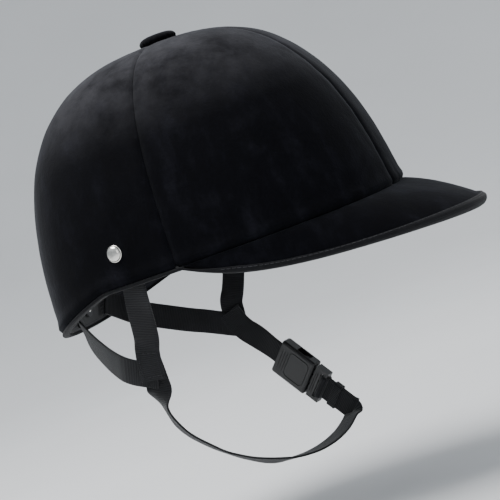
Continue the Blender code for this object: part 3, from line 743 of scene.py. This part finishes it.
def build_rim_lining():
    """A skirt that wraps the liner's edge; it lies on the shell behind the nape."""
    ring = full_circle(192)
    edge = liner_edge(ring)
    rim = rim_height(ring)
    behind = (SKIRT_NAPE_X[0] - plan_radius(ring) * np.cos(ring)) / (SKIRT_NAPE_X[0] - SKIRT_NAPE_X[1])
    start = SKIRT_DEPTH - SKIRT_NAPE_SHIFT * smooth_step(np.clip(behind, 0, 1))
    # Depth along, depth across and height of each line of the skirt.
    section = (
        (start, start, rim - RIM_CUT), (start + 0.0001, start + 0.0001, rim * 0.5 + edge * 0.5),
        (start + 0.0004, start + 0.0004, edge - 0.0012), (0.011, 0.0105, edge - 0.0022),
        (0.0165, 0.0135, edge - 0.0026), (0.0225, 0.0172, edge - 0.002), (0.0243, 0.0184, edge + 0.0004),
        (0.0246, 0.0187, edge + 0.008),
    )
    coarse = np.array([at_height(ring, height, along, across) for along, across, height in section])
    at = np.linspace(0, len(section) - 1, 29)
    low = np.minimum(at.astype(int), len(section) - 2)
    part = (at - low)[:, None, None]
    part = (smooth_step(part) + part) / 2
    face = coarse[low] * (1 - part) + coarse[low + 1] * part
    normal = outward(face, True)
    face = face - normal * (0.0002 + lumps(face, 120.0, 6.0) * 0.0002)
    layered("rim_lining", face, face + normal * 0.0005, "lining")


def build_headband():
    """A padded band, pinched at its edges and at the sewn lines between its pads."""
    ring = full_circle(320)
    low = liner_edge(ring) - HEADBAND_DIP
    outer = []
    inner = []
    run = distance_along(at_height(ring, 0.02, 0.03))
    pads = round(run[-1] / HEADBAND_PAD)
    to_line = (0.5 - np.abs((run / run[-1] * pads) % 1 - 0.5)) * run[-1] / pads
    sewn = 1 - bell(to_line, 0.62, 0.002)
    for share in np.linspace(0, 1, 21):
        height = low + (HEADBAND_RISE - low) * share
        full = (4 * share * (1 - share) + 0.02) ** 0.42
        back, front = (at_height(ring, height, *depth) for depth in HEADBAND)
        thick = (0.22 + 0.78 * full * sewn)[:, None]
        outer.append(back)
        inner.append(back + (front - back) * thick)
    inner = np.array(inner)
    outer = np.array(outer)
    inner = inner - outward(inner, True) * lumps(inner, 85.0, 7.0) * 0.0005
    made = layered("padded_headband", outer, inner, "sweatband", covers=("headband",))


def build_crown_pad():
    """A round quilted pad under the crown, pinched at its edge and along two crossing seams."""
    radii = PAD_RADIUS * np.sin(np.linspace(0.03, math.pi / 2, 34))
    ring = full_circle(120)
    x = radii[:, None] * np.cos(ring)
    y = radii[:, None] * np.sin(ring)
    rise = CROWN_HEIGHT - WIDEST_Z - sum(LINING[1]) / 2
    bulge = (1 - (radii / (HALF_WIDTH - LINING[1][1])) ** PROFILE_POWER) ** (1 / PROFILE_POWER)
    roof = WIDEST_Z + rise * bulge - PAD_CLEARANCE
    full = (1 - (radii / PAD_RADIUS) ** 6) ** 0.5
    middle = (PAD_FLAT_Z + roof[-1]) / 2
    quilt = 1 - PAD_SEAM_DEPTH * np.clip(bell(x, 1, PAD_SEAM) + bell(y, 1, PAD_SEAM), 0, 1)
    top = middle + (roof[:, None] - middle) * full[:, None] + 0 * x
    low = middle + (PAD_FLAT_Z - middle) * full[:, None] * quilt
    grid_low = np.stack([x, y, low], -1)
    grid_low = grid_low + np.array(UPWARD) * lumps(grid_low, 90.0, 8.0) * 0.0005
    points, faces, _ = skin(np.stack([x, y, top], -1)[::-1], grid_low[::-1], True)
    faces = faces_without_hole(faces, len(points) // 2, len(ring))
    made = piece("quilted_crown_pad", points, faces, "pad_fabric", uvs=points[:, :2],
                 covers=("crown_pad",))


def faces_without_hole(faces, half, count):
    """Drops the wall of the small hole at the pad's middle and caps both sides instead."""
    top = set(range(half - count, half))
    bottom = set(range(2 * half - count, 2 * half))
    kept = [f for f in faces if not (set(f) & top and set(f) & bottom)]
    return kept + [sorted(top), sorted(bottom, reverse=True)]


def build_rim_binding():
    """A tape folded round the shell's edge, from one end of the peak to the other by way of the nape."""
    angles = np.linspace(BINDING_START, 2 * math.pi - BINDING_START, 260)
    edge = at_height(angles, rim_height(angles))
    inside = at_height(angles, rim_height(angles), *SHELL[1])
    path = (edge + inside) / 2
    turns = full_circle(20)
    outline = np.stack([(SHELL[1][0] / 2 + 0.0004) * signed_power(np.cos(turns), 0.55),
                        0.00125 * signed_power(np.sin(turns), 0.7) - 0.0014], -1)
    solid = sweep(path, unit(edge - inside), UPWARD, outline)
    swept("edge_tape", "binding_tape", solid, covers=("rim_binding",))


# ---- peak


def peak_root(turn, depth, height):
    """Points on the dome's wall, that far inside it, where the peak joins."""
    cosine, sine = signed_power(np.cos(turn), 2 / PLAN_POWER), signed_power(np.sin(turn), 2 / PLAN_POWER)
    height = np.broadcast_to(height, np.shape(turn))
    return np.stack([(FRONT_LENGTH - depth) * cosine, (HALF_WIDTH - depth) * sine, height], -1)


def peak_surface(turn, share):
    """The peak's upper face, from the dome's wall (share 0) to its free edge (share 1)."""
    turn, share = np.broadcast_arrays(np.asarray(turn, float), np.asarray(share, float))
    root = peak_root(turn, 0, -GAP)
    x = PEAK_REACH * np.cos(turn)
    z = -GAP - PEAK_DROP * (1 - np.exp(-x / PEAK_DROP_LENGTH))
    edge = np.stack([x, PEAK_HALF_WIDTH * np.sin(turn), z], -1)
    place = root + (edge - root) * share[..., None]
    place[..., 2] += 4 * PEAK_BULGE * share * (1 - share) * np.cos(turn)
    return place


def peak_normal(turn, share):
    step = 0.01
    round_it = peak_surface(turn + step, share) - peak_surface(turn - step, share)
    out_it = peak_surface(turn, share + step) - peak_surface(turn, share - step)
    return unit(np.cross(out_it, round_it))


def tucked(grid, turns):
    """Adds rows that carry a layer of the peak level under the dome's wall."""
    inner = [peak_root(turns, depth, grid[0, :, 2]) for depth in (PEAK_TUCK, PEAK_TUCK / 2)]
    return np.concatenate([np.array(inner), grid])


def build_peak():
    """The peak's velvet, its underside, and the stitched tape round its edge."""
    turns = np.linspace(-PEAK_END, PEAK_END, 181)
    rows = np.linspace(0, 1, 41)[:, None]
    length = np.linalg.norm(peak_surface(turns, 1.0) - peak_surface(turns, 0.0), axis=-1)
    shares = rows * (1 - EDGE_WIDTH / length)
    place = peak_surface(turns[None, :], shares)
    normal = peak_normal(turns[None, :], shares)
    soft = lumps(place, 28.0, 12.0) * 0.0005 + lumps(place, 90.0, 13.0) * 0.00018
    top = place + normal * soft * np.minimum(1, rows * 6)[..., None]
    top[..., 2] = np.minimum(top[..., 2], -GAP)
    back = place - normal * PEAK_VELVET_THICK
    layered("peak_velvet", tucked(top, turns), tucked(back, turns), "velvet", wrap=False,
            covers=("peak_top_cover",))
    under = place - normal * PEAK_UNDERSIDE[0]
    under_low = place - normal * (PEAK_UNDERSIDE[1] + lumps(place, 60.0, 14.0) * 0.0003)
    layered("peak_underside", tucked(under, turns), tucked(under_low, turns), "under_cloth", wrap=False,
            covers=("peak_under_cover",))

    edge = peak_surface(turns, 1.0)
    up = peak_normal(turns, 1.0)
    outside = unit(edge - peak_surface(turns, 0.9))
    swell = np.clip(length / EDGE_FULL_LENGTH, 0.35, 1)[:, None, None]
    lip, step = -EDGE_LIP, 0.0002 - EDGE_WIDTH
    outline = [(lip, 0.0001), (lip * 0.98, 0.0008), (lip * 0.6, 0.0012), (-0.001, 0.0011),
               (0.0002, 0.0002), (0.001, -0.0014), (0.0011, -0.003), (0.0008, -0.0046),
               (-0.0002, -0.006), (-0.0014, -0.0067), (lip * 0.6, -0.0068), (lip * 0.98, -0.0064),
               (lip, -0.0056), (step, -0.0056), (step, 0.0001)]
    section = np.broadcast_to(np.array(outline), (len(turns), len(outline), 2)).copy()
    section[..., :1] *= swell
    solid = sweep(edge, outside, up, section)
    swept("peak_edge_tape", "binding_tape", solid, covers=("peak_edge_binding",))
    inset = edge - outside * PEAK_STITCH_INSET * swell[:, 0] + up * 0.00115
    stitches("peak_stitching", inset[8:-8], up[8:-8], slot="binding_tape")


# ---- fasteners


def build_button():
    """A covered button, pleated round its edge where the velvet is drawn in, and dipped on top."""
    profile = [(0.0019, -0.0065), (0.0019, -0.0002), (BUTTON_RADIUS * 0.8, -0.0002)]
    for s in np.linspace(-0.35, 1, 26):
        turn = s * math.pi / 2
        radius = BUTTON_RADIUS * (max(math.cos(turn), 0.0) ** 0.62 if s < 1 else 0.0) + 0.0004
        height = 0.0024 + 0.0042 * math.sin(turn) - 0.0008 * math.exp(-(radius / 0.004) ** 2)
        profile.append((radius, height))

    def pleats(radius, height, angle):
        near_edge = np.clip((radius - BUTTON_RADIUS * 0.45) / (BUTTON_RADIUS * 0.55), 0, 1) ** 2
        low = np.clip((0.006 - height) / 0.006, 0, 1)
        fold = np.cos(angle * 22 + 0.8 * np.sin(3 * angle)) + 0.5 * np.cos(angle * 13 + 1.0)
        return radius - 0.00022 * near_edge * low * (1 + fold), height + 0.0001 * near_edge * fold

    place = Matrix.Translation((0, 0, CROWN_HEIGHT - 0.0004))
    turned("covered_button", profile, "velvet", place, 176, pleats, covers=("crown_button",))


def side_rivet_angle():
    reach = at_height(math.radians(110), SIDE_RIVET[1])[1]
    return math.atan2(reach, SIDE_RIVET[0])


def build_rivets():
    """Domed nickel caps with a thin rolled flange."""
    profile = [(0.0016, -0.01), (0.0016, 0.0002), (RIVET_RADIUS * 0.94, 0.0002), (RIVET_RADIUS, 0.0004),
               (RIVET_RADIUS * 1.01, 0.0007), (RIVET_RADIUS * 0.98, 0.001), (RIVET_RADIUS * 0.93, 0.0011)]
    for turn in np.linspace(0, math.pi / 2 - 0.04, 16):
        profile.append((RIVET_RADIUS * 0.91 * math.cos(turn), 0.0011 + 0.0027 * math.sin(turn)))
    for node, angle, height in (("side_rivet_right", -side_rivet_angle(), SIDE_RIVET[1]),
                                ("side_rivet_left", side_rivet_angle(), SIDE_RIVET[1]),
                                ("rear_rivet", math.pi, REAR_RIVET_Z)):
        turned(f"{node}_cap", profile, "nickel", dome_frame(angle, height), 72, covers=(node,))


# ---- harness


def mirrored(stations, side):
    return [((x, side * y, z), (nx, side * ny, nz)) for (x, y, z), (nx, ny, nz) in stations]


def front_strap_stations(side):
    """From above the side rivet, down inside the dome and out to the junction below the ear."""
    angle = side_rivet_angle()
    stations = []
    for height in (SIDE_RIVET[1] + 0.013, SIDE_RIVET[1], 0.006, -0.004):
        inside = at_height(angle, height, STRAP_DEPTH)
        facing = dome_frame(angle, height).to_3x3() @ Vector(UPWARD)
        stations.append((tuple(inside), tuple(facing)))
    stations += [
        ((-0.0432, 0.0885, -0.022), (-0.05, 0.93, -0.35)),
        ((-0.048, 0.0825, -0.038), (0, 0.97, -0.2)),
        ((-0.052, JUNCTION.y + 0.0006, -0.047), (0, 1, 0)),
        ((-0.0535, JUNCTION.y + 0.0011, -0.056), (0, 1, 0)),
        ((-0.0548, JUNCTION.y + 0.0011, -0.068), (0, 1, 0)),
    ]
    return mirrored(stations, side)


# Routes are (point, outward normal) pairs.
REAR_ROUTE = [
    ((-0.1222, 0.0225, -0.013), (-0.95, 0.3, -0.1)),
    ((-0.118, 0.0325, -0.02), (-0.9, 0.42, -0.1)),
    ((-0.1095, 0.044, -0.03), (-0.8, 0.6, 0.0)),
    ((-0.097, 0.0575, -0.04), (-0.65, 0.76, 0.0)),
    ((-0.0845, 0.0692, -0.049), (-0.45, 0.89, 0.0)),
    ((-0.0755, 0.0762, -0.0545), (-0.22, 0.97, 0.0)),
    ((-0.067, JUNCTION.y - 0.0006, -0.059), (-0.05, 1, 0)),
    ((-0.058, JUNCTION.y - 0.0003, -0.063), (0, 1, 0)),
    ((-0.0515, JUNCTION.y - 0.0003, -0.0655), (0, 1, 0)),
]

CHIN_ROUTE = [
    ((JUNCTION.x, -CHIN_LAYER_Y, -0.053), (0, -1, 0)),
    ((JUNCTION.x, -CHIN_LAYER_Y, -0.07), (0, -1, 0)),
    ((-0.0553, -CHIN_LAYER_Y, -0.0755), (0, -1, 0)),
    ((-0.0568, -0.0752, -0.087), (-0.8, -0.58, -0.1)),
    ((-0.0545, -0.07, -0.104), (-0.72, -0.56, -0.4)),
    ((-0.048, -0.0605, -0.119), (-0.6, -0.54, -0.58)),
    ((-0.0392, -0.0475, -0.1335), (-0.5, -0.42, -0.76)),
    ((-0.0282, -0.034, -0.1455), (-0.35, -0.45, -0.82)),
    ((-0.0175, -0.019, -0.1545), (-0.15, -0.45, -0.88)),
    ((-0.007, -0.002, -0.159), (-0.05, -0.15, -1.0)),
    ((0.004, 0.017, -0.16), (0.1, 0.15, -0.98)),
    ((0.0125, 0.034, -0.157), (0.25, 0.4, -0.88)),
    ((0.0175, 0.049, -0.1515), (0.4, 0.75, -0.5)),
]

# The doubled end, in the buckle's frame: x, z and the outward normal's x and z.
BAR_LOOP = [
    (0.02, 0.0, 0.0, -1.0), (0.0205, -0.0017, -0.4, -0.9), (0.0214, -0.0037, -0.15, -1.0),
    (0.024, -0.0039, 0.3, -0.95), (0.0251, -0.0022, 1.0, -0.4), (0.0252, 0.0, 1.0, 0.0),
    (0.0251, 0.0022, 1.0, 0.4), (0.024, 0.0039, 0.3, 0.95), (0.0214, 0.0037, -0.15, 1.0),
    (0.0205, 0.0027, -0.3, 1.0), (0.0197, 0.002, -0.1, 1.0), (0.018, 0.0019, 0.0, 1.0),
]
TAIL_END = [
    (0.012, TAIL_LEVEL, 0, 1), (0.002, TAIL_LEVEL, 0, 1),
    (-0.003, 0.0021, 0.15, 1.0), (-0.0065, 0.0032, 0.15, 1.0),
]


def buckle_frame():
    """X runs up the strap from the free side to the housing, Z faces outward."""
    along = (BUCKLE_END - BUCKLE_START).normalized()
    facing = Vector((0.35, 1.0, 0.0))
    facing = (facing - along * facing.dot(along)).normalized()
    turn = Matrix((along, facing.cross(along), facing)).transposed().to_4x4()
    return Matrix.Translation(BUCKLE_START) @ turn


def on_buckle(place, x, z=0.0):
    """A point on the webbing's centre line, from the buckle's frame."""
    return tuple(place @ Vector((x, 0, z)))


def build_head_straps():
    """The front and rear straps, with a box of stitching at each junction."""
    for side, sign in (("right", -1), ("left", 1)):
        _, (path, across, up) = strap(f"front_web_{side}", front_strap_stations(sign),
                                      covers=(f"front_strap_{side}",))
        edge = WEB_WIDTH / 2 - 0.0022
        lift = up * WEB_THICK * 0.5
        for row, offset in (("fore", -edge), ("aft", edge)):
            start = len(path) - 20
            stitches(f"junction_stitch_{row}_{side}", (path + across * offset + lift)[start:], up[start:])
        for step, index in (("upper", len(path) - 20), ("lower", len(path) - 4)):
            line = [path[index] + across[index] * s + lift[index] for s in np.linspace(-edge, edge, 9)]
            stitches(f"junction_stitch_{step}_{side}", line, [up[index]] * 9)
        strap(f"rear_web_{side}", mirrored(REAR_ROUTE, sign),
              covers=(f"rear_strap_{side}", f"strap_junction_{side}"))


def build_chin_strap():
    """Webbing from the right junction to the buckle, from the buckle to the left one, and the end."""
    place = buckle_frame()
    facing = tuple(place.to_3x3() @ Vector(UPWARD))
    straight = [(on_buckle(place, x), facing) for x in (-0.008, -0.004, 0.0, 0.01, 0.016, 0.0198)]
    made, _ = strap("chin_web", CHIN_ROUTE + straight, None, covers=("chin_strap", "buckle_webbing"))
    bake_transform(made)

    stations = [
        (on_buckle(place, HOUSING_END - 0.004), facing),
        (on_buckle(place, HOUSING_END + 0.008), facing),
        ((-0.0415, CHIN_LAYER_Y - 0.0007, -0.0765), (0, 1, 0)),
        ((-0.0475, CHIN_LAYER_Y - 0.0002, -0.0698), (0, 1, 0)),
        ((-0.052, CHIN_LAYER_Y - 0.0001, -0.0618), (0, 1, 0)),
        ((JUNCTION.x, CHIN_LAYER_Y - 0.0001, -0.053), (0, 1, 0)),
    ]
    strap("chin_web_left", stations, body="chin_loop", covers=("chin_strap_left",))

    stations = []
    for x, z, lean, rise in BAR_LOOP + TAIL_END:
        facing = place.to_3x3() @ Vector((lean, 0, rise))
        stations.append((on_buckle(place, x, z), tuple(facing)))
    _, (path, across, up) = strap("strap_end", stations, body="buckle_tongue", width=WEB_WIDTH - 0.0005,
                                  covers=("strap_tail",))
    line = [path[-3] + across[-3] * s + up[-3] * WEB_THICK / 2 for s in np.linspace(-0.007, 0.007, 9)]
    stitches("strap_end_stitching", line, [up[-3]] * 9, body="buckle_tongue")


def rounded_loop(low, high, half_width, corner, z):
    """Points round a rectangle with rounded corners, from low to high along X, in a level plane."""
    x, y = (high - low) / 2 - corner, half_width - corner
    points = []
    for quarter, (right, left) in enumerate(((1, 1), (-1, 1), (-1, -1), (1, -1))):
        for turn in np.linspace(quarter, quarter + 1, 9) * math.pi / 2:
            points.append(((low + high) / 2 + right * x + corner * math.cos(turn),
                           left * y + corner * math.sin(turn), z))
    return np.array(points)


def build_buckle_relief():
    """Raised borders and grip ridges moulded on both faces of the buckle's two halves."""
    place = buckle_frame()
    bead = np.array([(BEAD[0] * math.cos(a), BEAD[1] * math.sin(a)) for a in full_circle(10)])
    for face, face_name in ((1, "outer"), (-1, "inner")):
        z = face * HOUSING_THICK / 2
        loop = rounded_loop(HOUSING_START + 0.004, HOUSING_END - 0.01, HOUSING_WIDTH / 2 - 0.0042,
                            0.0035, z)
        solid = sweep(loop, unit(np.cross(round_loop(loop), UPWARD)), UPWARD, bead, closed=True)
        swept(f"housing_border_{face_name}", "buckle_plastic", solid, "chin_loop", matrix=place)
        ridges(f"housing_grips_{face_name}", place, HOUSING_END - np.array((0.008, 0.0058, 0.0036)),
               HOUSING_WIDTH / 2 - 0.005, z, bead, "chin_loop")
        ridges(f"tongue_grips_{face_name}", place, TONGUE_START + np.array((0.008, 0.0096)),
               TONGUE_WIDTH / 2 - 0.003, face * TONGUE_THICK / 2, bead, "buckle_tongue")


def ridges(name, place, positions, reach, z, bead, body):
    """Straight rounded ridges across the buckle."""
    across = np.linspace(-reach, reach, 9)
    section = bead * np.clip(1 - np.abs(across / reach) ** 8, 0.15, 1)[:, None, None]
    solids = []
    for x in positions:
        path = np.stack([np.full(9, x), across, np.full(9, z)], -1)
        solids.append(sweep(path, FORWARD, UPWARD, section))
    return piece(name, *joined(solids), "buckle_plastic", body, matrix=place)


def build_keeper():
    """A woven elastic loop round the doubled webbing."""
    turns = full_circle(72)
    y = (WEB_WIDTH / 2 + ELASTIC_THICK) * signed_power(np.cos(turns), 0.35)
    reach = (TAIL_LEVEL + WEB_THICK) / 2 + ELASTIC_THICK
    z = TAIL_LEVEL / 2 + reach * signed_power(np.sin(turns), 0.35)
    path = np.stack([np.full(turns.shape, KEEPER_LENGTH / 2), y, z], -1)
    outline = web_outline(KEEPER_LENGTH - 0.0014, ELASTIC_THICK)
    solid = sweep(path, FORWARD, unit(np.cross(round_loop(path), FORWARD)), outline, closed=True)
    swept("elastic_keeper", "elastic", solid, "strap_keeper",
          matrix=buckle_frame() @ Matrix.Translation((KEEPER_START, 0, 0)), covers=("strap_keeper",))


# ---- carried-over nodes, set and camera


def dress_frame():
    """Gives every node of the frame that still shows its procedural finish."""
    for sub in frame["record"]["subparts"]:
        node = frame["nodes"][sub["node"]]
        node.data.materials.clear()
        node.data.materials.append(LOOKS[sub["material_slot"]])


def build_stage():
    """A pale floor that turns up all round into a wall."""
    ring = full_circle(96)
    sweep_up = [(radius, 0.0) for radius in (0.3, 0.8, FLOOR_RADIUS)]
    for turn in np.linspace(0.1, 1.5, 16):
        sweep_up.append((FLOOR_RADIUS + BEND_RADIUS * math.sin(turn), BEND_RADIUS * (1 - math.cos(turn))))
    points = [(0, 0, FLOOR_Z)]
    for radius, height in sweep_up:
        points += [(radius * math.cos(a), radius * math.sin(a), FLOOR_Z + height) for a in ring]
    faces = [[0, 1 + i, 1 + (i + 1) % len(ring)] for i in range(len(ring))]
    faces += (grid_faces(len(sweep_up), len(ring), True, flip=True) + 1).tolist()
    mesh = bpy.data.meshes.new("floor")
    mesh.from_pydata(points, [], faces)
    mesh.shade_smooth()
    look = Look("floor", roughness=0.9)
    look.colour(look.ramp(look.noise(3.0), [(0.3, (0.66, 0.67, 0.68)), (0.7, (0.69, 0.7, 0.71))]))
    mesh.materials.append(look.material)
    placed("floor", mesh)


def add_light(name, place, aim, size, power, colour=(1, 1, 1)):
    data = bpy.data.lights.new(name, "AREA")
    data.shape = "RECTANGLE"
    data.size, data.size_y = size
    data.energy = power
    data.color = colour
    light = placed(name, data)
    light.location = place
    light.rotation_euler = (Vector(aim) - Vector(place)).to_track_quat("-Z", "Y").to_euler()


def light_and_shoot():
    """A pale studio, and the camera the photograph was taken with."""
    world = bpy.data.worlds.new("studio")
    world.use_nodes = True
    background = world.node_tree.nodes["Background"]
    background.inputs["Color"].default_value = (0.9, 0.95, 1.0, 1)
    background.inputs["Strength"].default_value = 0.75
    bpy.context.scene.world = world
    add_light("overhead", (-0.35, -0.15, 1.5), (0.02, 0, 0.08), (1.1, 0.9), 40, (1.0, 0.99, 0.98))
    add_light("fill", (0.9, -1.6, 0.7), (0, 0, 0.0), (1.0, 1.0), 4)
    add_light("rear", (-1.2, 1.0, 0.9), (0, 0, 0.05), (0.8, 1.2), 3)

    data = bpy.data.cameras.new("camera")
    data.lens = CAMERA_LENS
    data.sensor_width = 36
    data.shift_x, data.shift_y = CAMERA_SHIFT
    data.clip_end = 20
    camera = placed("camera", data)
    turn = (Matrix.Rotation(CAMERA_AZIMUTH, 4, "Z") @ Matrix.Rotation(math.pi / 2 - CAMERA_ELEVATION, 4, "X")
            @ Matrix.Rotation(CAMERA_ROLL, 4, "Z"))
    away = Matrix.Translation((0, 0, CAMERA_DISTANCE))
    camera.matrix_world = Matrix.Translation(CAMERA_TARGET) @ turn @ away
    bpy.context.scene.camera = camera


dress_frame()
build_velvet()
build_shell_and_liner()
build_dome_lining()
build_rim_lining()
build_headband()
build_crown_pad()
build_rim_binding()
build_peak()
build_button()
build_rivets()
build_head_straps()
build_chin_strap()
build_keeper()
build_buckle_relief()
build_stage()
light_and_shoot()
